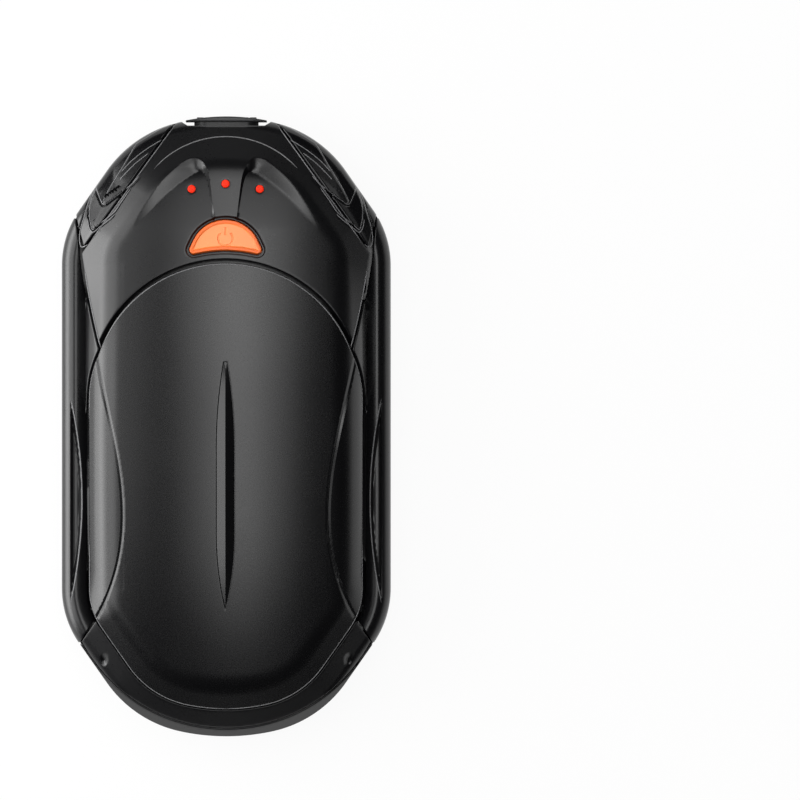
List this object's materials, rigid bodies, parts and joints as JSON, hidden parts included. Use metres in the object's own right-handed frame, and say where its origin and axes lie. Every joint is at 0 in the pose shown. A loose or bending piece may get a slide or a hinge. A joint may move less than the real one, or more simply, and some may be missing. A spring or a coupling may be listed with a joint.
{
  "type": "rechargeable hand warmer",
  "caption": "Pebble-shaped pocket hand warmer with a crowned heat panel, side grips, scaled shoulder guards, a press button, indicator lamps and a hinged charging port cover.",
  "frame": {"origin": "middle of the flat back face that the hand warmer lies on", "axes": "+X to the right and +Y towards the charging port as the front is seen, +Z out of the front"},
  "size_m": [0.0572, 0.1078, 0.0268],
  "materials": {
    "shell_black": "fine moulded grain, satin",
    "panel_black": "smooth satin moulding",
    "grip_black": "satin moulding with fine grain",
    "guard_black": "polished moulding",
    "button_orange": "translucent satin",
    "lamp_red": "clear red moulding",
    "cover_rubber": "soft matt rubber",
    "socket_steel": "nickel-plated, drawn",
    "screw_steel": "zinc-plated",
    "tongue_black": "moulded nylon",
    "switch_black": "moulded nylon",
    "plunger_white": "moulded nylon",
    "board_green": "solder mask",
    "chip_black": "moulded epoxy",
    "coil_grey": "pressed ferrite",
    "capacitor_tan": "ceramic",
    "led_white": "moulded lens",
    "film_amber": "polyimide film with printed tracks",
    "foam_grey": "open-cell sponge",
    "bead_black": "glass bead",
    "cell_silver": "laminated foil pouch",
    "lead_red": "silicone insulation",
    "lead_black": "silicone insulation"
  },
  "bodies": {
    "housing": {"front_housing": "shell_black", "back_housing": "shell_black", "front_panel": "panel_black", "back_panel": "panel_black", "side_grip_left": "grip_black", "side_grip_right": "grip_black", "shoulder_guard_left": "guard_black", "shoulder_guard_right": "guard_black", "switch_case": "switch_black", "light_pipe": "lamp_red", "indicator_leds": "led_white", "circuit_board": "board_green", "controller_chip": "chip_black", "charger_chip": "chip_black", "boost_coil": "coil_grey", "capacitors": "capacitor_tan", "socket_shell": "socket_steel", "socket_tongue": "tongue_black", "hinge_pin": "screw_steel", "front_heating_film": "film_amber", "back_heating_film": "film_amber", "front_foam_pad": "foam_grey", "back_foam_pad": "foam_grey", "thermistor": "bead_black", "battery_cell_back": "cell_silver", "battery_cell_front": "cell_silver", "protection_board": "board_green", "battery_lead_red": "lead_red", "battery_lead_black": "lead_black", "housing_screws": "screw_steel", "board_screws": "screw_steel"},
    "power_button": {"power_button": "button_orange"},
    "switch_plunger": {"switch_plunger": "plunger_white"},
    "port_cover": {"port_cover": "cover_rubber"}
  },
  "joints": [
    {"name": "power_button_press", "type": "slide", "parent": "housing", "child": "power_button", "axis": [0, 0, -1], "range_m": [0, 0.0005], "stiffness_N_per_m": 400, "springref_m": -0.001},
    {"name": "switch_plunger_press", "type": "slide", "parent": "housing", "child": "switch_plunger", "axis": [0, 0, -1], "range_m": [0, 0.0005]},
    {"name": "port_cover_hinge", "type": "hinge", "parent": "housing", "child": "port_cover", "pos_m": [0, 0.05341, 0.0067], "axis": [-1, 0, 0], "range_deg": [0, 110]}
  ],
  "couplings": [
    {"joint": "switch_plunger_press", "follows": "power_button_press", "ratio": 1}
  ]
}
